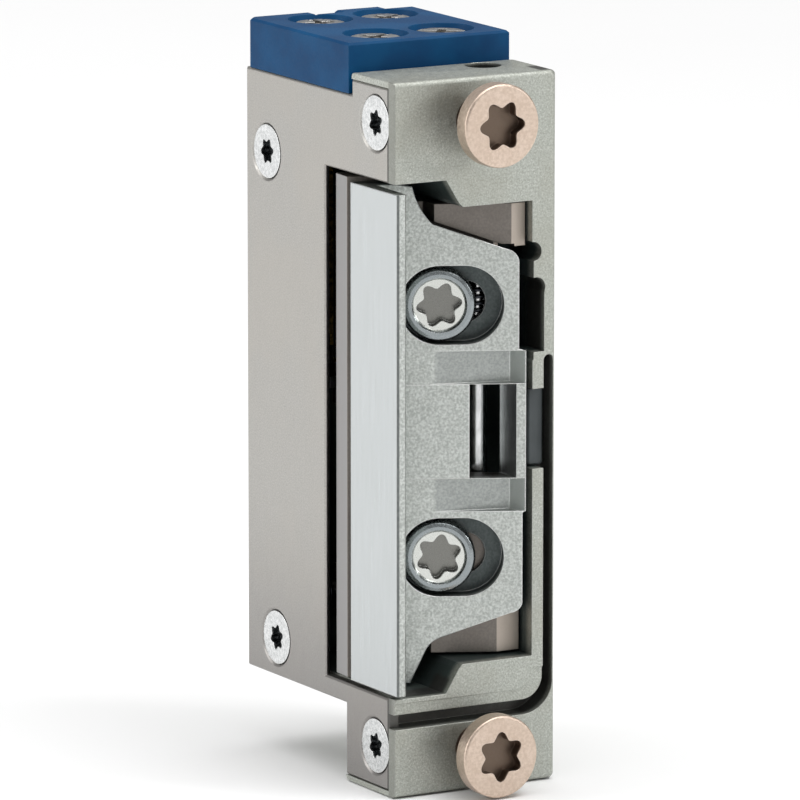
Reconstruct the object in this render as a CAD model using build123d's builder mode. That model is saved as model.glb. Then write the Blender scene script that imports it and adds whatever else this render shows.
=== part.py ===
from build123d import *
import os
from math import sin, cos, tan, radians, pi

os.makedirs("parts", exist_ok=True)

# Compact electric door strike, 16 mm wide.
# Frame: origin in the middle of the front face, between the two mounting screws.
# +Z up, front face at y = 0 looking along -Y, the lip side is -X.

# ---------------------------------------------------------------- dimensions
W = 16.0                 # housing width
XL, XR = -W / 2, W / 2   # left (lip side) and right outer faces
Z_FL = 31.0              # flange half height
Y_FLT, Y_FLB = 7.4, 8.5  # flange depth, top and bottom
Z_BT, Z_BB = 29.07, -24.2  # rear body top and bottom
Y_R = 26.1               # rear face
T_PL = 1.0               # cover plate thickness
T_RIM = 3.4              # depth of the front rim
X_CAV = 6.9              # inner face of the right wall
Z_OP = 22.33             # front opening half height at the lip side
Z_OR = 19.9              # front opening half height at the right
X_OR = 5.55              # right edge of the front opening
Z_MS = 27.35             # mounting screw positions, +/-
R_MS = 1.95              # mounting screw shank
R_NK = 1.6               # plain neck under the head, through the faceplate
R_MH = 3.6               # mounting screw head
GAP_FP = 2.9             # space for the faceplate under the heads
T_MH = 1.5               # head height
D_MR = 1.05              # depth of the driver recess in the head
PX, PY = 3.0, 5.0        # keeper pin axis
R_PIN = 0.9
PHI = 26.0               # slope of the keeper's floor
FY = 1.95                # y of the floor at x = 0
T_KP = 2.6               # keeper plate thickness
Z_AS = 11.0              # adjusting screw positions, +/-
X_AS = -1.95
LVY, LVZ = 19.5, -16.5   # locking lever pin
R_LP = 0.75
CX, CY = 1.0, 20.2       # coil axis
AX, AZ = 5.6, 2.2        # armature pin axis
SX0, SDX = 0.3, 3.25     # terminal screw columns
SY = (12.2, 21.9)        # terminal screw rows
Z_TB = 33.4              # terminal block top

c, s, t = cos(radians(PHI)), sin(radians(PHI)), tan(radians(PHI))
NRM = (-s, -c, 0)        # outward normal of the keeper's floor
UDR = (c, -s, 0)         # along the floor, to the right


def floor_y(x, depth=0.0):
    return FY + depth / c - t * x


def kplane(u, z, w):
    # plane parallel to the keeper's floor, w above it, local y is +Z
    return Plane(origin=(u * c - w * s, FY - u * s - w * c, z), x_dir=UDR, z_dir=NRM)


def star(r, turn=0.0):
    # six-lobe driver outline of outer radius r, as points of a closed spline
    pts = []
    for i in range(48):
        a = 2 * pi * i / 48
        k = r * (0.86 + 0.14 * cos(6 * a))
        pts.append((k * cos(a + radians(turn)), k * sin(a + radians(turn))))
    return pts


def done(bp, name):
    bp.part.label = name
    export_step(bp.part, f"parts/{name}.step")


COVER_XY = ((3.4, 27.2), (22.5, 22.1), (21.0, -20.8), (3.45, -27.0))

# ---------------------------------------------------------------- housing_casting
with BuildPart() as housing_casting:
    with BuildSketch(Plane.YZ.offset(XL)):
        with BuildLine():
            Polyline((0, -Z_FL), (Y_FLB, -Z_FL), (Y_FLB, Z_BB), (Y_R, Z_BB), (Y_R, Z_BT),
                     (Y_FLT, Z_BT), (Y_FLT, Z_FL), (0, Z_FL), close=True)
        make_face()
    extrude(amount=W)
    # rounded cast edges
    edges_z = housing_casting.edges().filter_by(Axis.Z)
    fillet(edges_z.filter_by_position(Axis.X, XR - 0.1, XR + 0.1), radius=0.6)
    edges_x = housing_casting.edges().filter_by(Axis.X)
    fillet(edges_x.filter_by_position(Axis.Z, -Z_FL - 0.1, -Z_FL + 0.1), radius=0.5)
    edges_x = housing_casting.edges().filter_by(Axis.X)
    fillet(edges_x.filter_by_position(Axis.Z, Z_FL - 0.1, Z_FL + 0.1), radius=0.4)
    # seat of the cover plate in the left side
    with BuildSketch(Plane.YZ.offset(XL - 1)):
        with BuildLine():
            Polyline((1.05, -30.55), (30, -30.55), (30, 30.45), (1.05, 30.45), close=True)
        make_face()
    extrude(amount=T_PL + 1, mode=Mode.SUBTRACT)
    # front opening, right through the rim and on between the pin ribs
    with BuildSketch(Plane.XZ.offset(1)):
        with BuildLine():
            Polyline((-9, Z_OP), (-2.95, Z_OP), (-1.7, 20.3), (-1.3, Z_OR), (X_OR, Z_OR),
                     (X_OR, 16.2), (5.7, 14.6), (5.7, 12.9), (6.75, 12.0), (6.75, 6.7),
                     (5.7, 6.7), (5.7, 6.1), (5.6, 6.0), (5.6, -Z_OR), (-1.3, -Z_OR),
                     (-1.7, -20.3), (-2.95, -Z_OP), (-9, -Z_OP), close=True)
        make_face()
        with Locations((5.62, 15.45)):
            Circle(0.85)
        with Locations((5.95, 12.3)):
            Circle(0.9)
        with Locations((6.5, 0.0)):
            Rectangle(1.9, 7.0)
    extrude(amount=-(T_RIM + 1), mode=Mode.SUBTRACT)
    # hidden end of the release slide's track, behind the rim
    with BuildSketch(Plane.XZ.offset(-0.9)):
        with Locations((6.5, 1.1)):
            Rectangle(1.9, 9.2)
    extrude(amount=-2.6, mode=Mode.SUBTRACT)
    # space behind the rim, up to the pin ribs
    with BuildSketch(Plane.XZ.offset(-T_RIM + 0.2)):
        with BuildLine():
            Polyline((-9, Z_OP), (-2.95, Z_OP), (-1.7, 20.3), (-1.3, Z_OR), (X_CAV, Z_OR),
                     (X_CAV, -Z_OR), (-1.3, -Z_OR), (-1.7, -20.3), (-2.95, -Z_OP), (-9, -Z_OP), close=True)
        make_face()
    extrude(amount=-5.2, mode=Mode.SUBTRACT)
    # deep tray
    with BuildSketch(Plane.XZ.offset(-8.0)):
        with Locations(((X_CAV - 9) / 2, 0)):
            Rectangle(X_CAV + 9, 2 * Z_OP)
    extrude(amount=-17.1, mode=Mode.SUBTRACT)
    # well for the foot of the terminal block
    with BuildSketch(Plane.XZ.offset(-9.4)):
        with Locations(((X_CAV - 9) / 2, 26)):
            Rectangle(X_CAV + 9, 8)
    extrude(amount=-15.7, mode=Mode.SUBTRACT)
    # narrow groove round the front opening
    with BuildSketch(Plane.XZ.offset(1)):
        with BuildLine():
            Line((7.7, 5.9), (7.7, -22.0))
            RadiusArc((7.7, -22.0), (4.7, -25.0), 3.0)
            Polyline((4.7, -25.0), (-9, -25.0), (-9, -23.7), (4.7, -23.7))
            RadiusArc((4.7, -23.7), (6.7, -21.7), -2.0)
            Line((6.7, -21.7), (6.7, 5.9))
            RadiusArc((6.7, 5.9), (7.7, 5.9), 0.5)
        make_face()
    extrude(amount=-3.2, mode=Mode.SUBTRACT)
    # shallow step along the groove's inner edge at the bottom
    with BuildSketch(Plane.XZ.offset(0.5)):
        with BuildLine():
            Line((-9, -23.72), (-9, -22.75))
            Line((-9, -22.75), (3.95, -22.75))
            RadiusArc((3.95, -22.75), (5.75, -20.95), -1.8)
            Line((5.75, -20.95), (6.72, -20.95))
            Line((6.72, -20.95), (6.72, -21.7))
            RadiusArc((6.72, -21.7), (4.7, -23.72), 2.02)
            Line((4.7, -23.72), (-9, -23.72))
        make_face()
    extrude(amount=-0.66, mode=Mode.SUBTRACT)
    # threaded holes of the mounting screws
    with BuildSketch(Plane.XZ.offset(1)):
        with Locations((0, Z_MS), (0, -Z_MS)):
            Circle(R_MS + 0.05)
    extrude(amount=-8.9, mode=Mode.SUBTRACT)
    # keeper pin bore in the two ribs
    with BuildSketch(Plane.XY.offset(-22.6)):
        with Locations((PX, PY)):
            Circle(R_PIN + 0.03)
    extrude(amount=45.2, mode=Mode.SUBTRACT)
    # screw posts of the cover plate in the tray
    with BuildSketch(Plane.YZ.offset(XL + T_PL)):
        with Locations(COVER_XY[1], COVER_XY[2]):
            Circle(1.9)
    extrude(until=Until.NEXT)
    # lever pin boss on the right wall
    with BuildSketch(Plane.YZ.offset(X_CAV + 0.3)):
        with Locations((LVY, LVZ)):
            Circle(1.7)
    extrude(amount=-1.6)
    with BuildSketch(Plane.YZ.offset(X_CAV + 0.2)):
        with Locations((LVY, LVZ)):
            Circle(R_LP + 0.03)
    extrude(amount=-3, mode=Mode.SUBTRACT)
    # tapped holes of the cover screws
    with BuildSketch(Plane.YZ.offset(XL)):
        with Locations(*COVER_XY):
            Circle(1.25)
    extrude(amount=7.5, mode=Mode.SUBTRACT)
    # locating hole in the top of the flange
    with BuildSketch(Plane.XY.offset(Z_FL)):
        with Locations((3.8, 5.45)):
            Circle(1.6)
    extrude(amount=-2.4, mode=Mode.SUBTRACT)
done(housing_casting, "housing_casting")

# ---------------------------------------------------------------- cover_plate
with BuildPart() as cover_plate:
    with BuildSketch(Plane.YZ.offset(XL)):
        with BuildLine():
            Polyline((1.1, -30.5), (Y_FLB, -30.5), (Y_FLB, Z_BB), (Y_R, Z_BB), (Y_R, Z_BT),
                     (Y_FLT, Z_BT), (Y_FLT, 30.4), (1.1, 30.4), (1.1, 22.3), (12.2, 22.3),
                     (12.2, -22.45), (1.1, -22.45), close=True)
        make_face()
    extrude(amount=T_PL)
    outer = cover_plate.faces().sort_by(Axis.X)[0]
    chamfer(outer.edges(), length=0.16)
    # relieved inner edge behind the cut-out, on the keeper's path
    with BuildSketch(Plane.XY.offset(-22.45)):
        with BuildLine():
            Polyline((XL + 0.2, 12.1), (XL + T_PL + 0.1, 12.1), (XL + T_PL + 0.1, 13.25), close=True)
        make_face()
    extrude(amount=44.75, mode=Mode.SUBTRACT)
    # countersunk screw holes
    for y, z in COVER_XY:
        with Locations(Plane(origin=(XL, y, z), x_dir=(0, 1, 0), z_dir=(-1, 0, 0))):
            CounterSinkHole(radius=1.35, counter_sink_radius=2.62, depth=T_PL, counter_sink_angle=112)
done(cover_plate, "cover_plate")

# ---------------------------------------------------------------- cover_screws
with BuildPart() as cover_screws:
    for y, z in COVER_XY:
        ax = Plane(origin=(XL, y, z), x_dir=(0, 1, 0), z_dir=(1, 0, 0))
        with BuildSketch(ax.offset(0.06)):
            Circle(2.38)
        with BuildSketch(ax.offset(0.86)):
            Circle(1.2)
        loft()
        with BuildSketch(ax.offset(0.8)):
            Circle(1.2)
        extrude(amount=5.2)
        with BuildSketch(ax):
            with BuildLine():
                Spline(*star(1.15, 15 + 7 * y), periodic=True)
            make_face()
        extrude(amount=0.75, mode=Mode.SUBTRACT)
done(cover_screws, "cover_screws")

# ---------------------------------------------------------------- mounting_screws
with BuildPart() as mounting_screws:
    for sg in (1, -1):
        pl = Plane(origin=(0, -GAP_FP, sg * Z_MS), x_dir=(1, 0, 0), z_dir=(0, -1, 0))
        with BuildSketch(pl):
            Circle(R_MH)
        extrude(amount=T_MH)
        rim = mounting_screws.edges().filter_by(GeomType.CIRCLE).sort_by(Axis.Y)[0:1]
        if sg == -1:
            rim = mounting_screws.edges().filter_by(GeomType.CIRCLE).filter_by_position(
                Axis.Z, -Z_MS - 4, -Z_MS + 4).sort_by(Axis.Y)[0:1]
        fillet(rim, radius=0.22)
        with BuildSketch(pl):
            Circle(R_NK)
        extrude(amount=-GAP_FP)
        with BuildSketch(pl.offset(-GAP_FP)):
            Circle(R_MS)
        extrude(amount=-7.2)
        with BuildSketch(pl.offset(T_MH)):
            with BuildLine():
                Spline(*star(2.2, 2 if sg > 0 else 29), periodic=True)
            make_face()
        extrude(amount=-D_MR, mode=Mode.SUBTRACT)
done(mounting_screws, "mounting_screws")

# ---------------------------------------------------------------- keeper
with BuildPart() as keeper:
    # section: lip, slanted floor, cheek
    with BuildSketch(Plane.XY.offset(-22.0)):
        with BuildLine():
            Polyline((XL, -0.35), (XL, 7.62), (-6.3, 7.85),
                     (-6.3, floor_y(-6.3, T_KP)), (4.75, floor_y(4.75, T_KP)),
                     (4.75, floor_y(4.75)), (-6.85, floor_y(-6.85)), (-7.1, -0.35),
                     (-7.3, -0.5), (-7.85, -0.5), close=True)
        make_face()
    extrude(amount=43.5)
    # outline seen from the front
    with BuildSketch(Plane.XZ.offset(3)):
        with BuildLine():
            Polyline((-10, 21.5), (-5.3, 21.5), (-4.05, 21.3))
            ThreePointArc((-4.05, 21.3), (-3.55, 19.7), (-2.5, 18.05))
            Polyline((-2.5, 18.05), (3.2, 15.85))
            ThreePointArc((3.2, 15.85), (3.95, 15.4), (4.2, 14.6))
            Polyline((4.2, 14.6), (4.2, 7.15), (4.75, 7.0), (4.75, -7.0), (4.5, -7.15), (4.5, -14.8))
            ThreePointArc((4.5, -14.8), (4.3, -15.55), (3.6, -15.95))
            Polyline((3.6, -15.95), (-1.9, -18.05))
            ThreePointArc((-1.9, -18.05), (-2.65, -18.6), (-3.1, -19.4))
            Polyline((-3.1, -19.4), (-4.2, -22.0), (-10, -22.0), (-10, 21.5))
        make_face()
    extrude(amount=-20, mode=Mode.INTERSECT)
    # central block stands a little proud
    with BuildSketch(Plane.XY.offset(-4.1)):
        with BuildLine():
            Polyline((-6.9, floor_y(-6.9) + 0.2), (-6.9, floor_y(-6.9) - 0.16), (0.4, floor_y(0.4) - 0.16),
                     (0.4, floor_y(0.4) + 0.2), close=True)
        make_face()
    extrude(amount=8.2)
    # counterbored slots for the adjusting screws
    for sg in (1, -1):
        with BuildSketch(kplane(0, sg * Z_AS, 0.5)):
            with Locations((-1.1, 0)):
                SlotOverall(8.98, 6.86)
        extrude(amount=-2.5, mode=Mode.SUBTRACT)
        with BuildSketch(kplane(0, sg * Z_AS, 0)):
            with Locations((-1.0, 0)):
                SlotOverall(5.8, 3.6)
        extrude(amount=-4, mode=Mode.SUBTRACT)
        # relief beside the central block, deeper to the right, with a slanted end
        with BuildSketch(Plane.XY.offset(4.15 if sg > 0 else -7.0)):
            with BuildLine():
                Polyline((-2.6, floor_y(-2.6)), (4.1, 1.3), (4.68, -0.25), (4.68, -2), (-2.6, -2), close=True)
            make_face()
        extrude(amount=2.85, mode=Mode.SUBTRACT)
    # window in the middle
    with BuildSketch(Plane.XZ.offset(3)):
        with Locations((2.16, 0)):
            Rectangle(3.7, 8.2)
    extrude(amount=-14, mode=Mode.SUBTRACT)
done(keeper, "keeper")

# ---------------------------------------------------------------- keeper_carrier
with BuildPart() as keeper_carrier:
    # end towers beside the keeper's shoulders, with a flat front facet
    for x0, y0, zz in ((4.05, 1.0, 1), (3.2, 1.9, -1)):
        with BuildSketch(Plane.XY.offset(15.9 if zz > 0 else -19.65)):
            with BuildLine():
                Polyline((x0, y0), (5.4, y0), (5.4, 6.2), (3.8, 7.0), (-1.9, 7.4),
                         (-1.9, y0 + t * (x0 + 1.9)), close=True)
            make_face()
        extrude(amount=3.75)
    # room for the keeper's shoulders
    with BuildSketch(Plane.XZ.offset(1)):
        with BuildLine():
            Polyline((-2.3, 18.25), (3.3, 16.12), (4.35, 16.12), (4.35, 10), (-2.3, 10), close=True)
        make_face()
        with BuildLine():
            Polyline((-2.3, -18.5), (3.7, -16.2), (4.65, -16.2), (4.65, -10), (-2.3, -10), close=True)
        make_face()
    extrude(amount=-12.0, mode=Mode.SUBTRACT)
    # main section under the keeper
    with BuildSketch(Plane.XY.offset(-19.6)):
        with BuildLine():
            Polyline((4.0, 3.2), (3.55, 3.2), (-5.6, floor_y(-5.6, T_KP + 0.06)), (-5.6, 10.0), (0.6, 8.4),
                     (4.0, 7.3), close=True)
        make_face()
    extrude(amount=39.2)
    # side strip behind the keeper's cheek, the full height of the opening
    with BuildSketch(Plane.XY.offset(-22.0)):
        with BuildLine():
            Polyline((-5.4, floor_y(-5.4, T_KP + 0.06)), (-7.75, floor_y(-7.75, T_KP + 0.06)), (-7.6, 10.85),
                     (-6.5, 10.85), (-5.4, 9.9), close=True)
        make_face()
    extrude(amount=43.8)
    # window behind the keeper's window, crossed by the bare pin
    with BuildSketch(Plane.XZ.offset(-2)):
        with Locations((1.95, 0)):
            Rectangle(4.3, 8.8)
    extrude(amount=-9, mode=Mode.SUBTRACT)
    # tail that the locking lever holds
    with BuildSketch(Plane.XY.offset(-3.6)):
        with BuildLine():
            Polyline((-2.6, 8.0), (-2.6, 13.2), (-2.2, 13.5), (0.0, 13.5), (0.4, 13.1), (0.4, 10.2), (-0.35, 9.0),
                     (-0.35, 7.2), close=True)
        make_face()
    extrude(amount=7.2)
    # spring pocket round the pin
    with BuildSketch(Plane.XY.offset(7.6)):
        with Locations((PX, PY + 0.2)):
            Circle(2.2)
        with Locations((PX + 1.5, PY + 2.0)):
            Rectangle(3.0, 4.0)
    extrude(amount=5.4, mode=Mode.SUBTRACT)
    # pin bore and tapped holes
    with BuildSketch(Plane.XY.offset(-20)):
        with Locations((PX, PY)):
            Circle(R_PIN + 0.05)
    extrude(amount=40, mode=Mode.SUBTRACT)
    for sg in (1, -1):
        with BuildSketch(kplane(X_AS / c, sg * Z_AS, -2)):
            Circle(1.5)
        extrude(amount=-8, mode=Mode.SUBTRACT)
done(keeper_carrier, "keeper_carrier")

# ---------------------------------------------------------------- adjusting_screws
with BuildPart() as adjusting_screws:
    for sg in (1, -1):
        at = X_AS / c
        # head: a rounded rim round a dished middle
        with BuildSketch(kplane(at, sg * Z_AS, -1.94)):
            Circle(3.15)
        extrude(amount=1.5)
        with BuildSketch(kplane(at, sg * Z_AS, -0.44)):
            Circle(3.15)
        with BuildSketch(kplane(at, sg * Z_AS, -0.14)):
            Circle(2.98)
        loft()
        with BuildSketch(kplane(at, sg * Z_AS, -0.14)):
            Circle(2.98)
        with BuildSketch(kplane(at, sg * Z_AS, 0.0)):
            Circle(2.7)
        loft()
        with BuildSketch(kplane(at, sg * Z_AS, 0.01)):
            Circle(2.4)
        with BuildSketch(kplane(at, sg * Z_AS, -0.3)):
            Circle(2.2)
        loft(mode=Mode.SUBTRACT)
        with BuildSketch(kplane(at, sg * Z_AS, -1.9)):
            Circle(1.46)
        extrude(amount=-3.8)
        with BuildSketch(kplane(at, sg * Z_AS, 0.1)):
            with BuildLine():
                Spline(*star(1.98, 8 if sg > 0 else 22), periodic=True)
            make_face()
        extrude(amount=-1.5, mode=Mode.SUBTRACT)
done(adjusting_screws, "adjusting_screws")

# ---------------------------------------------------------------- keeper_pin
with BuildPart() as keeper_pin:
    with BuildSketch(Plane.XY.offset(-22.3)):
        with Locations((PX, PY)):
            Circle(R_PIN)
    extrude(amount=44.6)
    chamfer(keeper_pin.edges().filter_by(GeomType.CIRCLE), length=0.15)
done(keeper_pin, "keeper_pin")

# ---------------------------------------------------------------- keeper_spring
with BuildPart() as keeper_spring:
    with BuildLine() as wire:
        Helix(pitch=0.6, height=3.6, radius=1.15, center=(PX, PY, 8.4))
    with BuildSketch(Plane(origin=wire.line @ 0, z_dir=wire.line % 0)):
        Circle(0.16)
    sweep(path=wire.line)
done(keeper_spring, "keeper_spring")

# ---------------------------------------------------------------- release_slide
with BuildPart() as release_slide:
    with BuildSketch(Plane.XZ.offset(-1.1)):
        with Locations((6.55, 0.0)):
            RectangleRounded(1.5, 6.8, 0.3)
    extrude(amount=-2.1)
    edges_f = release_slide.faces().sort_by(Axis.Y)[0].edges()
    chamfer(edges_f, length=0.15)
done(release_slide, "release_slide")

# ---------------------------------------------------------------- locking_lever
with BuildPart() as locking_lever:
    with BuildSketch(Plane.YZ.offset(-2.6)):
        with BuildLine():
            Polyline((17.9, LVZ), (17.9, -3.4), (13.8, -3.0), (13.8, -0.9), (14.1, -0.6), (19.5, -0.6), (19.6, LVZ), close=True)
        make_face()
        with Locations((LVY, LVZ)):
            Circle(2.1)
    extrude(amount=3.0)
    # tab that works the switch plunger
    with BuildSketch(Plane.YZ.offset(0.3)):
        with Locations((18.45, -6.5)):
            Rectangle(1.1, 2.6)
    extrude(amount=4.2)
    with BuildSketch(Plane.YZ.offset(-4)):
        with Locations((LVY, LVZ)):
            Circle(R_LP + 0.05)
    extrude(amount=8, mode=Mode.SUBTRACT)
done(locking_lever, "locking_lever")

# ---------------------------------------------------------------- lever_pin
with BuildPart() as lever_pin:
    with BuildSketch(Plane.YZ.offset(XL + T_PL)):
        with Locations((LVY, LVZ)):
            Circle(R_LP)
    extrude(amount=14.0)
done(lever_pin, "lever_pin")

# ---------------------------------------------------------------- lever_spring
with BuildPart() as lever_spring:
    with BuildLine() as wire:
        Helix(pitch=0.5, height=2.0, radius=1.25, center=(-5.6, LVY, LVZ), direction=(1, 0, 0))
    with BuildSketch(Plane(origin=wire.line @ 0, z_dir=wire.line % 0)):
        Circle(0.18)
    sweep(path=wire.line)
done(lever_spring, "lever_spring")

# ---------------------------------------------------------------- coil
with BuildPart() as coil_bobbin:
    with BuildSketch(Plane.XY.offset(4.0)):
        with Locations((CX, CY)):
            Circle(2.3)
    extrude(amount=14.8)
    for z0 in (4.0, 18.0):
        with BuildSketch(Plane.XY.offset(z0)):
            with Locations((CX, CY)):
                Circle(4.35)
        extrude(amount=0.8)
    # lug on the lower flange, the upper seat of the armature's spring
    with BuildSketch(Plane.XY.offset(4.0)):
        with Locations((-3.2, CY)):
            Rectangle(0.3, 2.0)
    extrude(amount=2.5)
    with BuildSketch(Plane.XY.offset(5.7)):
        with Locations((-4.25, CY)):
            Rectangle(2.2, 2.0)
    extrude(amount=0.8)
    with BuildSketch(Plane.XY.offset(3.0)):
        with Locations((CX, CY)):
            Circle(1.65)
    extrude(amount=20, mode=Mode.SUBTRACT)
done(coil_bobbin, "coil_bobbin")

with BuildPart() as coil_winding:
    with BuildSketch(Plane.XY.offset(4.85)):
        with Locations((CX, CY)):
            Circle(3.95)
            Circle(2.35, mode=Mode.SUBTRACT)
    extrude(amount=13.1)
done(coil_winding, "coil_winding")

with BuildPart() as coil_core:
    with BuildSketch(Plane.XY.offset(3.2)):
        with Locations((CX, CY)):
            Circle(1.6)
    extrude(amount=16.75)
    chamfer(coil_core.edges().filter_by(GeomType.CIRCLE), length=0.15)
done(coil_core, "coil_core")

with BuildPart() as coil_yoke:
    with BuildSketch(Plane.XY.offset(18.85)):
        with Locations((2.4, CY)):
            Rectangle(8.8, 6.4)
        with Locations((CX, CY)):
            Circle(1.62, mode=Mode.SUBTRACT)
    extrude(amount=1.0)
    with BuildSketch(Plane.YZ.offset(5.8)):
        with Locations((CY, 11.7)):
            Rectangle(6.4, 14.8)
    extrude(amount=1.0)
    with BuildSketch(Plane.XZ.offset(-16.2)):
        with Locations((5.75, 2.9)):
            Rectangle(2.1, 3.2)
    extrude(amount=-0.8)
    with BuildSketch(Plane.XZ.offset(-23.4)):
        with Locations((5.75, 2.9)):
            Rectangle(2.1, 3.2)
    extrude(amount=-0.8)
    # short webs join the ears to the leg
    with BuildSketch(Plane.XY.offset(4.3)):
        with Locations((6.3, 16.6), (6.3, 23.8)):
            Rectangle(1.0, 1.4)
    extrude(amount=1.2)
    with BuildSketch(Plane.XZ.offset(-15)):
        with Locations((AX, AZ)):
            Circle(0.53)
    extrude(amount=-10, mode=Mode.SUBTRACT)
done(coil_yoke, "coil_yoke")

with BuildPart() as armature_pin:
    with BuildSketch(Plane.XZ.offset(-16.0)):
        with Locations((AX, AZ)):
            Circle(0.5)
    extrude(amount=-8.4)
done(armature_pin, "armature_pin")

with BuildPart() as armature:
    with BuildSketch(Plane.XZ.offset(-17.3)):
        with BuildLine():
            Polyline((-4.6, 1.7), (AX, 1.7), (AX, 2.7), (-4.6, 2.7), close=True)
        make_face()
        with Locations((AX, AZ)):
            Circle(0.95)
    extrude(amount=-5.8)
    with BuildSketch(Plane.XZ.offset(-19.9)):
        with Locations((-1.1, 0.75)):
            Rectangle(2.6, 2.2)
    extrude(amount=-0.9)
    with BuildSketch(Plane.XZ.offset(-15)):
        with Locations((AX, AZ)):
            Circle(0.56)
    extrude(amount=-10, mode=Mode.SUBTRACT)
done(armature, "armature")

with BuildPart() as armature_spring:
    with BuildLine() as wire:
        Helix(pitch=0.5, height=2.6, radius=0.8, center=(-4.3, 20.2, 2.95), direction=(0, 0, 1))
    with BuildSketch(Plane(origin=wire.line @ 0, z_dir=wire.line % 0)):
        Circle(0.14)
    sweep(path=wire.line)
done(armature_spring, "armature_spring")

# ---------------------------------------------------------------- switch
with BuildPart() as switch_body:
    with BuildSketch(Plane.XZ.offset(-21.7)):
        with Locations((4.0, -6.6)):
            RectangleRounded(4.8, 12.0, 0.3)
    extrude(amount=-3.3)
    with BuildSketch(Plane.XZ.offset(-21)):
        with Locations((3.3, -6.5)):
            Circle(0.85)
    extrude(amount=-3.2, mode=Mode.SUBTRACT)
done(switch_body, "switch_body")

with BuildPart() as switch_plunger:
    with BuildSketch(Plane.XZ.offset(-19.2)):
        with Locations((3.3, -6.5)):
            Circle(0.8)
    extrude(amount=-2.9)
    fillet(switch_plunger.edges().filter_by(GeomType.CIRCLE).sort_by(Axis.Y)[0], radius=0.3)
done(switch_plunger, "switch_plunger")

# ---------------------------------------------------------------- terminals
TS = [(SX0 + i * SDX, y) for i in (-1, 1) for y in SY]
with BuildPart() as terminal_block:
    with BuildSketch(Plane.XY.offset(Z_BT + 0.03)):
        with BuildLine():
            Polyline((-7.95, 8.0), (7.9, 8.0), (7.9, 24.7), (5.2, 24.7), (5.2, 26.05),
                     (0.8, 26.05), (0.8, 24.7), (-1.8, 24.7), (-1.8, 26.05), (-7.35, 26.05), (-7.95, 25.45), close=True)
        make_face()
    extrude(amount=Z_TB - Z_BT - 0.03)
    top = terminal_block.faces().sort_by(Axis.Z)[-1]
    chamfer(top.edges(), length=0.2)
    with BuildSketch(Plane.XY.offset(24.3)):
        with Locations((-0.05, 17.25)):
            Rectangle(13.5, 15.2)
    extrude(amount=5.4)
    for x, y in TS:
        # funnel, screw well and clamp chamber
        with BuildSketch(Plane.XY.offset(Z_TB + 0.01)):
            with Locations((x, y)):
                Circle(2.9)
        with BuildSketch(Plane.XY.offset(Z_TB - 0.9)):
            with Locations((x, y)):
                Circle(2.5)
        loft(mode=Mode.SUBTRACT)
        with BuildSketch(Plane.XY.offset(Z_TB - 0.85)):
            with Locations((x, y)):
                Circle(2.5)
        extrude(amount=-0.95, mode=Mode.SUBTRACT)
        with BuildSketch(Plane.XY.offset(29.4)):
            with Locations((x, y)):
                Rectangle(3.6, 4.4)
        extrude(amount=2.5, mode=Mode.SUBTRACT)
    # wire entries from the back
    for x, y1 in ((SX0 - SDX - 1.0, 19), (SX0 + SDX, 19), (-0.7, 15.0), (6.4, 15.0)):
        with BuildSketch(Plane.XZ.offset(-27)):
            with Locations((x, 30.75)):
                Rectangle(2.2 if y1 > 18 else 1.8, 2.0)
        extrude(amount=27 - y1 if y1 > 18 else 27 - 14.2, mode=Mode.SUBTRACT)
    # cross ways from the long entries to the front chambers
    for x0, x1 in ((-3.0, -0.7), (3.6, 6.4)):
        with BuildSketch(Plane.XZ.offset(-15.6)):
            with Locations(((x0 + x1) / 2, 30.75)):
                Rectangle(x1 - x0, 2.0)
        extrude(amount=1.6, mode=Mode.SUBTRACT)
done(terminal_block, "terminal_block")

with BuildPart() as terminal_screws:
    for i, (x, y) in enumerate(TS):
        with BuildSketch(Plane.XY.offset(31.75)):
            with Locations((x, y)):
                Circle(2.3)
        extrude(amount=1.35)
        hd = terminal_screws.edges().filter_by(GeomType.CIRCLE).group_by(Axis.Z)[-1]
        fillet(hd.sort_by_distance((x, y, 33.1))[0], radius=0.3)
        with BuildSketch(Plane.XY.offset(31.8)):
            with Locations((x, y)):
                Circle(1.2)
        extrude(amount=-2.1)
        with BuildSketch(Plane(origin=(x, y, 33.1), x_dir=(cos(0.5 + i), sin(0.5 + i), 0), z_dir=(0, 0, 1))):
            Rectangle(4.4, 0.62)
            Rectangle(0.8, 2.6)
        extrude(amount=-0.7, mode=Mode.SUBTRACT)
done(terminal_screws, "terminal_screws")

with BuildPart() as terminal_clamps:
    for x, y in TS:
        with BuildSketch(Plane.XY.offset(29.5)):
            with Locations((x, y)):
                Rectangle(3.4, 4.2)
        extrude(amount=2.2)
        with BuildSketch(Plane.XZ.offset(-(y - 3))):
            with Locations((x, 30.3)):
                Rectangle(2.3, 1.0)
        extrude(amount=-6, mode=Mode.SUBTRACT)
        with BuildSketch(Plane.XY.offset(29.6)):
            with Locations((x, y)):
                Circle(1.25)
        extrude(amount=3, mode=Mode.SUBTRACT)
done(terminal_clamps, "terminal_clamps")

with BuildPart() as contact_strips:
    # two strips to the coil, two to the switch, below the foot of the block
    for x, y, zb in ((-4.7, 17.4, 5.5), (-5.9, 18.4, 5.5), (0.4, 24.85, 0.0), (5.2, 24.85, 0.0)):
        with BuildSketch(Plane.XY.offset(zb)):
            with Locations((x, y)):
                Rectangle(0.8, 0.35)
        extrude(amount=24.3 - zb)
done(contact_strips, "contact_strips")
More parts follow.
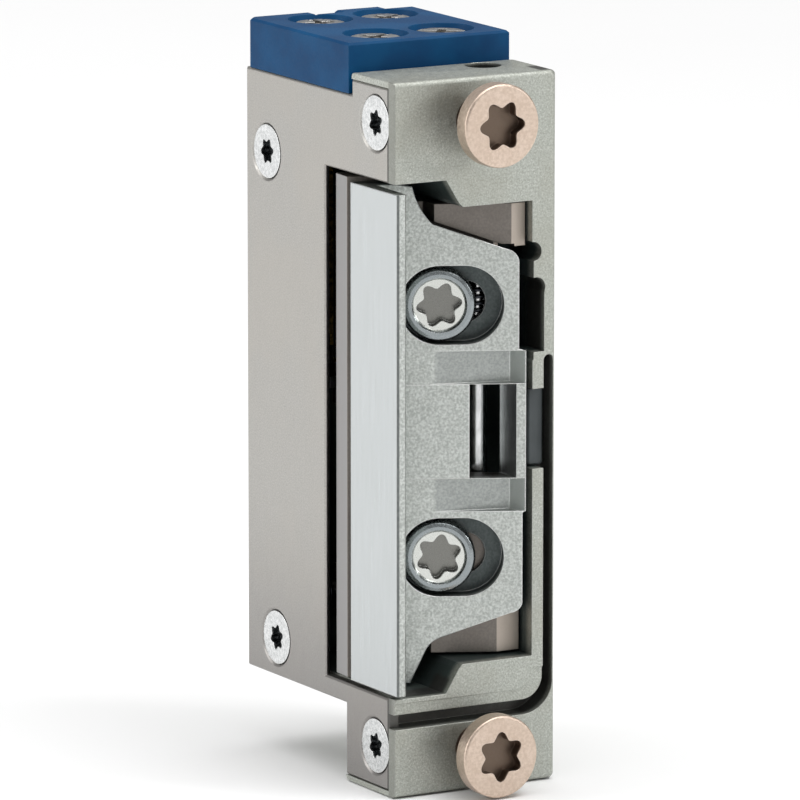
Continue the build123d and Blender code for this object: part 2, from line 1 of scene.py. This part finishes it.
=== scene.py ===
import bpy
import math
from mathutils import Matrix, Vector


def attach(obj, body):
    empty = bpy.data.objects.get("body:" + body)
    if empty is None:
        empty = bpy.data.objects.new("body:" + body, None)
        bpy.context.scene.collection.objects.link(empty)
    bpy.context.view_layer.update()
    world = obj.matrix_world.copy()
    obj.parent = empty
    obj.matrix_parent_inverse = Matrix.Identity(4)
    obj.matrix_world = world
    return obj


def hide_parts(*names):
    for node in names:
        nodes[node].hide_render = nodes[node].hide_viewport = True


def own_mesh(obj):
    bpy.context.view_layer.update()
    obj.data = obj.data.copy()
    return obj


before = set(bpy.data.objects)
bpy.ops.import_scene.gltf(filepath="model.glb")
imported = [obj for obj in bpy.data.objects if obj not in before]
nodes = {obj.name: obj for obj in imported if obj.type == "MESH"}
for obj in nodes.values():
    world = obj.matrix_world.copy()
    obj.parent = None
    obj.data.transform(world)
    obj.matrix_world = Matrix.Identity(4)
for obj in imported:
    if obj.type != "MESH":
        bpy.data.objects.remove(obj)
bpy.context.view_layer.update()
scene = bpy.context.scene

# ------------------------------------------------------------------ camera
TARGET = Vector((0.0, 0.008, 0.00175))
BACK = Vector((-0.4897, -0.8515, 0.1875)).normalized()
DIST = 0.7476
right = Vector((0, 0, 1)).cross(BACK).normalized()
cam_pos = TARGET + BACK * DIST
aim = TARGET - right * 0.002536
cam_data = bpy.data.cameras.new("camera")
cam_data.lens = 389.97
cam_data.sensor_width = 36.0
cam_data.clip_start = 0.01
cam_data.clip_end = 20.0
cam = bpy.data.objects.new("camera", cam_data)
scene.collection.objects.link(cam)
cam.location = cam_pos
cam.rotation_euler = (aim - cam_pos).to_track_quat("-Z", "Y").to_euler()
scene.camera = cam

# ------------------------------------------------------------------ world and lights
world = bpy.data.worlds.new("studio")
scene.world = world
world.use_nodes = True
wn = world.node_tree
wn.nodes.clear()
w_out = wn.nodes.new("ShaderNodeOutputWorld")
w_bg = wn.nodes.new("ShaderNodeBackground")
w_bg.inputs["Color"].default_value = (1.0, 1.0, 1.0, 1)
w_bg.inputs["Strength"].default_value = 0.39
wn.links.new(w_bg.outputs[0], w_out.inputs[0])


def area(name, loc, aim_at, size, power, size_y=None, color=(1, 1, 1)):
    d = bpy.data.lights.new(name, "AREA")
    d.shape = "RECTANGLE"
    d.size = size
    d.size_y = size_y or size
    d.energy = power
    d.color = color
    o = bpy.data.objects.new(name, d)
    scene.collection.objects.link(o)
    o.location = loc
    o.rotation_euler = (Vector(aim_at) - Vector(loc)).to_track_quat("-Z", "Y").to_euler()
    return o


area("key_top", (0.15, -0.30, 0.55), (0, 0.01, 0), 0.30, 1.1, 0.30)
area("left_panel", (-0.55, 0.25, 0.20), (0, 0.01, 0.01), 0.40, 1.4, 0.40)
area("front_right", (0.44, -0.44, 0.20), (0, 0.01, 0), 0.13, 0.68, 0.16)
# a wide, soft light straight down keeps the floor pale
sun_data = bpy.data.lights.new("overhead", "SUN")
sun_data.energy = 1.9
sun_data.angle = math.radians(70)
sun = bpy.data.objects.new("overhead", sun_data)
scene.collection.objects.link(sun)

# ------------------------------------------------------------------ floor
bpy.ops.mesh.primitive_plane_add(size=6.0, location=(0, 0, -0.0311))
floor = bpy.context.object
floor.name = "floor"


# ------------------------------------------------------------------ material tools
class Mat:
    """A small wrapper that builds one procedural material, with positions in millimetres."""

    def __init__(self, name):
        self.m = bpy.data.materials.new(name)
        self.m.use_nodes = True
        self.nt = self.m.node_tree
        self.nt.nodes.clear()
        self.out = self.nt.nodes.new("ShaderNodeOutputMaterial")
        self.p = self.nt.nodes.new("ShaderNodeBsdfPrincipled")
        self.link(self.p.outputs[0], self.out.inputs[0])
        tc = self.nt.nodes.new("ShaderNodeTexCoord")
        sc = self.nt.nodes.new("ShaderNodeVectorMath")
        sc.operation = "SCALE"
        self.link(tc.outputs["Object"], sc.inputs[0])
        sc.inputs["Scale"].default_value = 1000.0
        self.mm = sc.outputs[0]
        self.normal = tc.outputs["Normal"]

    def link(self, a, b):
        self.nt.links.new(a, b)

    def sep(self, vec):
        n = self.nt.nodes.new("ShaderNodeSeparateXYZ")
        self.link(vec, n.inputs[0])
        return n.outputs

    def stretch(self, sx, sy, sz):
        n = self.nt.nodes.new("ShaderNodeVectorMath")
        n.operation = "MULTIPLY"
        self.link(self.mm, n.inputs[0])
        n.inputs[1].default_value = (sx, sy, sz)
        return n.outputs[0]

    def noise(self, scale, detail=3.0, rough=0.55, vec=None, dist=0.0):
        n = self.nt.nodes.new("ShaderNodeTexNoise")
        n.inputs["Scale"].default_value = scale
        n.inputs["Detail"].default_value = detail
        n.inputs["Roughness"].default_value = rough
        n.inputs["Distortion"].default_value = dist
        self.link(vec or self.mm, n.inputs["Vector"])
        return n.outputs[0]

    def voronoi(self, scale, vec=None, feature="F1"):
        n = self.nt.nodes.new("ShaderNodeTexVoronoi")
        n.feature = feature
        n.inputs["Scale"].default_value = scale
        self.link(vec or self.mm, n.inputs["Vector"])
        return n.outputs[0]

    def math(self, op, a, b=0.0, c=0.0, clamp=False):
        n = self.nt.nodes.new("ShaderNodeMath")
        n.operation = op
        n.use_clamp = clamp
        for i, v in enumerate((a, b, c)):
            if isinstance(v, (int, float)):
                n.inputs[i].default_value = v
            else:
                self.link(v, n.inputs[i])
        return n.outputs[0]

    def step(self, x, lo, hi):
        n = self.nt.nodes.new("ShaderNodeMapRange")
        n.interpolation_type = "SMOOTHSTEP"
        n.inputs["From Min"].default_value = lo
        n.inputs["From Max"].default_value = hi
        if isinstance(x, (int, float)):
            n.inputs["Value"].default_value = x
        else:
            self.link(x, n.inputs["Value"])
        return n.outputs[0]

    def range(self, x, lo, hi, a, b):
        n = self.nt.nodes.new("ShaderNodeMapRange")
        n.inputs["From Min"].default_value = lo
        n.inputs["From Max"].default_value = hi
        n.inputs["To Min"].default_value = a
        n.inputs["To Max"].default_value = b
        self.link(x, n.inputs["Value"])
        return n.outputs[0]

    def mix(self, fac, a, b, mode="MIX"):
        n = self.nt.nodes.new("ShaderNodeMix")
        n.data_type = "RGBA"
        n.blend_type = mode
        if isinstance(fac, (int, float)):
            n.inputs[0].default_value = fac
        else:
            self.link(fac, n.inputs[0])
        for i, v in ((6, a), (7, b)):
            if isinstance(v, tuple):
                n.inputs[i].default_value = (*v[:3], 1.0)
            else:
                self.link(v, n.inputs[i])
        return n.outputs[2]

    def bumps(self, items, bevel=0.12):
        """items: (height, strength, distance in mm); a small bevel rounds the shading at edges."""
        last = None
        if bevel:
            bv = self.nt.nodes.new("ShaderNodeBevel")
            bv.samples = 6
            bv.inputs["Radius"].default_value = bevel * 0.001
            last = bv.outputs[0]
        for h, strength, d in items:
            b = self.nt.nodes.new("ShaderNodeBump")
            b.inputs["Strength"].default_value = strength
            b.inputs["Distance"].default_value = d * 0.001
            self.link(h, b.inputs["Height"])
            if last is not None:
                self.link(last, b.inputs["Normal"])
            last = b.outputs[0]
        if last is not None:
            self.link(last, self.p.inputs["Normal"])

    def edge(self, radius=0.25, lo=0.02, hi=0.25):
        """0 on flat faces, 1 on worn edges."""
        bv = self.nt.nodes.new("ShaderNodeBevel")
        bv.samples = 6
        bv.inputs["Radius"].default_value = radius * 0.001
        g = self.nt.nodes.new("ShaderNodeNewGeometry")
        d = self.nt.nodes.new("ShaderNodeVectorMath")
        d.operation = "DOT_PRODUCT"
        self.link(bv.outputs[0], d.inputs[0])
        self.link(g.outputs["Normal"], d.inputs[1])
        return self.step(self.math("SUBTRACT", 1.0, d.outputs["Value"]), lo, hi)

    def base(self, col):
        if isinstance(col, tuple):
            self.p.inputs["Base Color"].default_value = (*col[:3], 1)
        else:
            self.link(col, self.p.inputs["Base Color"])

    def rough(self, v):
        if isinstance(v, (int, float)):
            self.p.inputs["Roughness"].default_value = v
        else:
            self.link(v, self.p.inputs["Roughness"])

    def metal(self, v):
        self.p.inputs["Metallic"].default_value = v


def lin(h):
    """#rrggbb to linear."""
    h = h.lstrip("#")
    out = []
    for i in (0, 2, 4):
        v = int(h[i:i + 2], 16) / 255
        out.append(v / 12.92 if v <= 0.04045 else ((v + 0.055) / 1.055) ** 2.4)
    return tuple(out)


def put(mat, *names):
    for n in names:
        o = nodes[n]
        o.data.materials.clear()
        o.data.materials.append(mat.m)


# ------------------------------------------------------------------ cast zinc housing
def cast_zinc():
    a = Mat("cast_zinc_housing")
    fine = a.noise(5.6, 4, 0.62)
    mid = a.noise(1.3, 3, 0.55)
    big = a.noise(0.16, 2, 0.5)
    spk = a.voronoi(5.5)
    col = a.mix(a.step(fine, 0.36, 0.66), lin("#a1a49c"), lin("#bcbfb8"))
    col = a.mix(a.math("MULTIPLY", a.step(spk, 0.42, 0.16), 0.35), col, lin("#dfe1dc"))
    col = a.mix(a.math("MULTIPLY", a.step(big, 0.4, 0.65), 0.3), col, lin("#a3a296"))
    # painted shade: the inside of the opening and the tray is painted dark, standing in for the shade there
    x, y, z = a.sep(a.mm)
    az = a.math("ABSOLUTE", z)
    painted_inside_shade = a.math("MULTIPLY", a.step(y, 0.25, 1.3), a.step(az, 22.45, 22.3))
    painted_inside_shade = a.math("MULTIPLY", painted_inside_shade, a.step(x, 7.52, 7.48))
    painted_inside_shade = a.math("MULTIPLY", painted_inside_shade, a.step(y, 25.6, 25.2))
    col = a.mix(a.math("MULTIPLY", painted_inside_shade, 0.94), col, lin("#4a5757"))
    # groove round the opening, painted dark as the shade inside it
    gy = a.math("MULTIPLY", a.step(y, 0.15, 0.9), a.step(y, 3.4, 2.6))
    gv = a.math("MULTIPLY", a.step(x, 6.6, 6.72), a.step(x, 7.8, 7.68))
    gh = a.math("MULTIPLY", a.step(z, -25.1, -24.95), a.step(z, -20.9, -21.4))
    gh = a.math("MULTIPLY", gh, a.step(x, 7.8, 7.68))
    painted_groove_shade = a.math("MULTIPLY", gy, a.math("MAXIMUM", gv, gh))
    col = a.mix(a.math("MULTIPLY", painted_groove_shade, 0.93), col, lin("#4b4a48"))
    # painted shade inside the locating hole
    hx = a.math("SUBTRACT", x, 3.8)
    hy = a.math("SUBTRACT", y, 5.45)
    hr = a.math("SQRT", a.math("ADD", a.math("MULTIPLY", hx, hx), a.math("MULTIPLY", hy, hy)))
    painted_hole_shade = a.math("MULTIPLY", a.step(hr, 1.72, 1.62), a.math("MULTIPLY", a.step(z, 30.97, 30.7), a.step(z, 28.0, 28.3)))
    col = a.mix(a.math("MULTIPLY", painted_hole_shade, 0.9), col, lin("#1d201f"))
    # all painted shade areas together; edges inside them get less wear
    dark = a.math("MAXIMUM", a.math("MAXIMUM", painted_inside_shade, painted_groove_shade), painted_hole_shade)
    # left edge of the flange, beside the cover plate: painted shade
    painted_edge_shade = a.math("MULTIPLY", a.step(x, -7.9, -7.97), a.step(y, 1.1, 1.0))
    col = a.mix(a.math("MULTIPLY", painted_edge_shade, 0.7), col, lin("#84857f"))
    e = a.edge(0.14, 0.05, 0.30)
    col = a.mix(a.math("MULTIPLY", a.math("MULTIPLY", e, a.math("SUBTRACT", 1.0, a.math("MULTIPLY", dark, 0.6))), 0.3), col, lin("#d2d4d1"))
    a.base(col)
    r = a.range(mid, 0.3, 0.7, 0.44, 0.58)
    a.rough(a.math("SUBTRACT", r, a.math("MULTIPLY", e, 0.12)))
    a.metal(0.88)
    a.bumps([(mid, 0.10, 0.10), (fine, 0.22, 0.06), (spk, 0.08, 0.05)])
    return a


put(cast_zinc(), "housing_casting")


# ------------------------------------------------------------------ satin cover plate
def satin_plate():
    a = Mat("satin_nickel_plate")
    grain = a.noise(2.2, 5, 0.65, vec=a.stretch(1, 1, 0.35))
    speck = a.noise(7.5, 3, 0.6)
    big = a.noise(0.09, 2, 0.5)
    col = a.mix(a.step(speck, 0.3, 0.72), lin("#a2a09c"), lin("#b9b7b2"))
    col = a.mix(a.math("MULTIPLY", a.step(big, 0.42, 0.6), 0.3), col, lin("#b3aea6"))
    px, py, pz = a.sep(a.mm)
    # the plate is darker towards the bottom
    col = a.mix(a.math("MULTIPLY", a.step(pz, -6.0, -29.0), 0.62), col, lin("#7f7b7a"))
    e = a.edge(0.16, 0.04, 0.28)
    col = a.mix(a.math("MULTIPLY", e, 0.5), col, lin("#e2e1dd"))
    # painted shade along the joint between the plate's front edge and the casting
    painted_seam_shade = a.math("MULTIPLY", a.step(py, 1.34, 1.22), a.step(a.math("ABSOLUTE", pz), 22.2, 22.4))
    col = a.mix(a.math("MULTIPLY", painted_seam_shade, 0.8), col, lin("#454644"))
    a.base(col)
    a.rough(a.range(grain, 0.3, 0.7, 0.30, 0.42))
    a.metal(0.92)
    a.bumps([(grain, 0.05, 0.05), (speck, 0.10, 0.04)], bevel=0.1)
    return a


put(satin_plate(), "cover_plate")


# ------------------------------------------------------------------ keeper
def keeper_mat():
    a = Mat("cast_keeper_polished_lip")
    nx, ny, nz = a.sep(a.normal)
    left = a.step(a.math("MULTIPLY", nx, -1.0), 0.965, 0.985)
    fine = a.noise(4.6, 4, 0.62)
    mid = a.noise(1.1, 3, 0.55)
    col = a.mix(a.step(fine, 0.34, 0.68), lin("#a6aaa6"), lin("#cdd1cd"))
    # depth below the slanted floor
    x, y, z = a.sep(a.mm)
    w = a.math("MULTIPLY", a.math("SUBTRACT", a.math("SUBTRACT", 1.95, a.math("MULTIPLY", x, 0.4877)), y), 0.8988)
    az = a.math("ABSOLUTE", z)
    # painted shade: pockets below the floor and the walls inside the window are painted dark
    painted_pocket_shade = a.math("MULTIPLY", a.step(w, -0.35, -1.3), a.step(az, 7.2, 7.35))
    painted_window_shade = a.math("MULTIPLY", a.step(w, -0.25, -1.0), a.step(az, 4.14, 4.1))
    painted_window_shade = a.math("MULTIPLY", painted_window_shade, a.step(x, 0.1, 0.35))
    col = a.mix(a.math("MULTIPLY", painted_pocket_shade, 0.88), col, lin("#283234"))
    col = a.mix(a.math("MULTIPLY", painted_window_shade, 0.85), col, lin("#3d3733"))
    # the groove band is painted darker as shade, and its right facet is painted lighter as a highlight
    groove = a.math("MULTIPLY", a.step(az, 4.12, 4.2), a.step(az, 7.04, 6.96))
    groove = a.math("MULTIPLY", groove, a.step(w, -0.02, -0.12))
    painted_facet_highlight = a.math("MULTIPLY", groove, a.step(x, 4.02, 4.14))
    painted_band_shade = a.math("MULTIPLY", groove, a.step(x, 4.14, 4.02))
    col = a.mix(a.math("MULTIPLY", painted_band_shade, 0.55), col, lin("#8b8f8e"))
    col = a.mix(a.math("MULTIPLY", painted_facet_highlight, 0.9), col, lin("#d6dad8"))
    line = a.noise(1.0, 4, 0.6, vec=a.stretch(1, 6.0, 0.15))
    pol = a.mix(a.step(line, 0.35, 0.65), lin("#bfc3c3"), lin("#c6cacb"))
    col = a.mix(left, col, pol)
    e = a.edge(0.22, 0.03, 0.26)
    lip = a.math("MULTIPLY", a.step(x, -6.9, -7.05), a.step(y, -0.28, -0.36))
    e = a.math("MULTIPLY", e, a.math("SUBTRACT", 1.0, lip))
    col = a.mix(a.math("MULTIPLY", e, 0.7), col, lin("#f4f5f4"))
    # painted shade: a dark line along the keeper's left side, in the joint behind its front
    painted_seam_shade = a.math("MULTIPLY", a.step(x, -7.8, -7.86), a.step(y, -0.3, -0.36))
    col = a.mix(a.math("MULTIPLY", painted_seam_shade, 0.75), col, lin("#4c5052"))
    a.base(col)
    r = a.range(mid, 0.3, 0.7, 0.32, 0.46)
    rp = a.range(line, 0.3, 0.7, 0.20, 0.28)
    mixr = a.nt.nodes.new("ShaderNodeMix")
    a.link(left, mixr.inputs[0])
    a.link(r, mixr.inputs[2])
    a.link(rp, mixr.inputs[3])
    a.rough(mixr.outputs[0])
    a.metal(0.92)
    notl = a.math("SUBTRACT", 1.0, left)
    a.bumps([(a.math("MULTIPLY", mid, notl), 0.12, 0.10), (a.math("MULTIPLY", fine, notl), 0.42, 0.06)], bevel=0.15)
    return a


put(keeper_mat(), "keeper")


# ------------------------------------------------------------------ simple metals
def metal(name, dark, light, rough=(0.3, 0.4), scale=3.0, stretch=(1, 1, 1), bump=0.06, wear="#f2f2ef",
          wear_amt=0.5, metallic=1.0, bevel=0.08, recess=None):
    a = Mat(name)
    n = a.noise(scale, 4, 0.6, vec=a.stretch(*stretch))
    big = a.noise(0.35, 2, 0.5)
    col = a.mix(a.step(n, 0.32, 0.7), lin(dark), lin(light))
    col = a.mix(a.math("MULTIPLY", a.step(big, 0.4, 0.66), 0.25), col, lin(dark))
    e = a.edge(0.18, 0.03, 0.3)
    col = a.mix(a.math("MULTIPLY", e, wear_amt), col, lin(wear))
    # recess: an optional mask of painted shade in a screw's recess
    if recess:
        col = a.mix(recess(a), col, lin(a.recess_col))
    a.base(col)
    a.rough(a.range(n, 0.3, 0.7, *rough))
    a.metal(metallic)
    a.bumps([(n, bump, 0.05)], bevel=bevel)
    return a


def mount_recess_shade(a):
    # painted shade on the parts of the screw sunk behind its head face
    a.recess_col = "#5f5146"
    x, y, z = a.sep(a.mm)
    zz = a.math("SUBTRACT", a.math("ABSOLUTE", z), 27.35)
    r2 = a.math("ADD", a.math("MULTIPLY", x, x), a.math("MULTIPLY", zz, zz))
    return a.math("MULTIPLY", a.math("MULTIPLY", a.step(r2, 5.6, 4.9), a.step(y, -4.36, -4.1)), 0.92)


put(metal("pale_bronze_screws", "#c8b4a3", "#dccabb", (0.36, 0.48), 4.2, bump=0.05, wear="#e6d9cc", recess=mount_recess_shade), "mounting_screws")


def cover_recess_shade(a):
    # painted shade on the parts of the screws sunk into the plate
    a.recess_col = "#30363a"
    x, y, z = a.sep(a.mm)
    return a.math("MULTIPLY", a.step(x, -7.88, -7.7), 0.85)


put(metal("white_zinc_cover_screws", "#c4c6c6", "#eceded", (0.22, 0.34), 3.5, recess=cover_recess_shade), "cover_screws")
def adjuster():
    """Outer ring painted darker as shade, brighter dished middle, painted shade in the driver recess."""
    a = Mat("bright_zinc_adjusters")
    x, y, z = a.sep(a.mm)
    w = a.math("MULTIPLY", a.math("SUBTRACT", a.math("SUBTRACT", 1.95, a.math("MULTIPLY", x, 0.4877)), y), 0.8988)
    u = a.math("DIVIDE", a.math("ADD", x, a.math("MULTIPLY", w, 0.4384)), 0.8988)
    du = a.math("ADD", u, 1.95 / 0.8988)
    dz = a.math("SUBTRACT", a.math("ABSOLUTE", z), 11.0)
    r = a.math("SQRT", a.math("ADD", a.math("MULTIPLY", du, du), a.math("MULTIPLY", dz, dz)))
    n = a.noise(4.0, 4, 0.6)
    painted_ring_shade = a.mix(n, lin("#7d8486"), lin("#a4aaac"))
    mid = a.mix(n, lin("#b9bcb8"), lin("#e4e5e0"))
    col = a.mix(a.step(r, 2.35, 2.15), painted_ring_shade, mid)
    col = a.mix(a.math("MULTIPLY", a.step(w, -0.42, -0.75), 0.8), col, lin("#55534e"))
    e = a.edge(0.14, 0.03, 0.3)
    col = a.mix(a.math("MULTIPLY", e, 0.6), col, lin("#f2f3f1"))
    a.base(col)
    a.rough(a.range(n, 0.3, 0.7, 0.2, 0.32))
    a.metal(1.0)
    a.bumps([(n, 0.08, 0.04)], bevel=0.08)
    return a


put(adjuster(), "adjusting_screws")
put(metal("nickel_terminal_screws", "#aeaca8", "#d6d3ce", (0.26, 0.4), 3.0, wear="#e6e4e0"), "terminal_screws")
def carrier_mat():
    a = Mat("brown_steel_carrier")
    nx, ny, nz = a.sep(a.normal)
    n = a.noise(5.0, 4, 0.6)
    big = a.noise(0.4, 2, 0.5)
    x, y, z = a.sep(a.mm)
    col = a.mix(a.step(n, 0.3, 0.72), lin("#75706b"), lin("#857f79"))
    col = a.mix(a.math("MULTIPLY", a.step(big, 0.4, 0.66), 0.2), col, lin("#6a635d"))
    # painted light: the front-facing facet at the right is painted lighter, as lit
    front = a.math("MULTIPLY", a.step(a.math("MULTIPLY", ny, -1.0), 0.96, 0.99), a.step(x, 2.4, 2.8))
    col = a.mix(front, col, lin("#b3a99f"))
    side = a.math("MULTIPLY", a.step(a.math("MULTIPLY", nx, -1.0), 0.9, 0.97), a.step(x, -6.9, -7.3))
    col = a.mix(side, col, a.mix(n, lin("#969595"), lin("#a5a3a2")))
    e = a.edge(0.18, 0.03, 0.3)
    col = a.mix(a.math("MULTIPLY", e, 0.35), col, lin("#b9b0a6"))
    a.base(col)
    a.rough(a.range(n, 0.3, 0.7, 0.42, 0.52))
    a.metal(0.9)
    a.bumps([(n, 0.05, 0.05)], bevel=0.1)
    return a


put(carrier_mat(), "keeper_carrier")
put(metal("steel_lever", "#4c4a48", "#6f6c69", (0.34, 0.5), 1.6, wear="#a5a29e"), "locking_lever")
put(metal("ground_pin", "#a9aaaa", "#dcdddd", (0.12, 0.22), 3.0, stretch=(1, 1, 0.2), bump=0.03), "keeper_pin", "lever_pin", "armature_pin")
put(metal("spring_wire", "#33353a", "#5c5f66", (0.25, 0.4), 4.0), "keeper_spring", "lever_spring", "armature_spring")
put(metal("plated_iron", "#6d7073", "#94979a", (0.3, 0.45), 2.0), "coil_core", "coil_yoke", "armature")
put(metal("brass_parts", "#8f7338", "#c9a85f", (0.26, 0.4), 3.0, wear="#e8cf8e"), "terminal_clamps", "contact_strips")


def winding():
    a = Mat("enamelled_copper")
    x, y, z = a.sep(a.mm)
    w = a.math("SINE", a.math("MULTIPLY", z, 2 * math.pi / 0.22))
    col = a.mix(a.step(w, -0.7, 0.7), lin("#2a130a"), lin("#5a3018"))
    a.base(col)
    a.rough(0.32)
    a.metal(0.7)
    a.bumps([(w, 0.5, 0.05)], bevel=0)
    return a


put(winding(), "coil_winding")


# ------------------------------------------------------------------ plastics
def plastic(name, dark, light, rough=(0.42, 0.55), grain=5.0, bump=0.12, wear=None, spec=0.5):
    a = Mat(name)
    fine = a.noise(grain, 4, 0.6)
    big = a.noise(0.25, 3, 0.5)
    col = a.mix(a.step(big, 0.35, 0.68), lin(dark), lin(light))
    col = a.mix(a.math("MULTIPLY", a.step(fine, 0.4, 0.7), 0.18), col, lin(light))
    if wear:
        e = a.edge(0.2, 0.03, 0.3)
        col = a.mix(a.math("MULTIPLY", e, 0.35), col, lin(wear))
    a.base(col)
    a.rough(a.range(fine, 0.3, 0.7, *rough))
    a.metal(0.0)
    a.p.inputs["IOR"].default_value = 1.5
    a.p.inputs["Specular IOR Level"].default_value = spec
    a.bumps([(fine, bump, 0.04)], bevel=0.12)
    return a


put(plastic("blue_terminal_plastic", "#013a64", "#034672", wear="#2f6e9c", spec=0.14), "terminal_block")
put(plastic("black_nylon", "#101112", "#1b1d1e"), "coil_bobbin", "switch_body")
put(plastic("red_plunger", "#6c120d", "#8a1b14"), "switch_plunger")
put(plastic("dark_grey_slide", "#33383a", "#444a4c", wear="#6d7274"), "release_slide")

fm = Mat("pale_floor")
fn = fm.noise(0.01, 2, 0.5)
fm.base(fm.mix(fn, (0.86, 0.86, 0.86), (0.9, 0.9, 0.9)))
fm.rough(0.85)
floor.data.materials.append(fm.m)

# ------------------------------------------------------------------ armature spring
# the coil is copied and fixed to the housing body, and the original is hidden; it does not shorten as the armature
# lifts, though the real coil is pressed against the lug on the bobbin
coil = bpy.data.objects.new("armature_spring_coil", nodes["armature_spring"].data.copy())
scene.collection.objects.link(coil)
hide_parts("armature_spring")
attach(coil, "housing")
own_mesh(coil)

scene.view_settings.view_transform = "Standard"
scene.view_settings.look = "None"
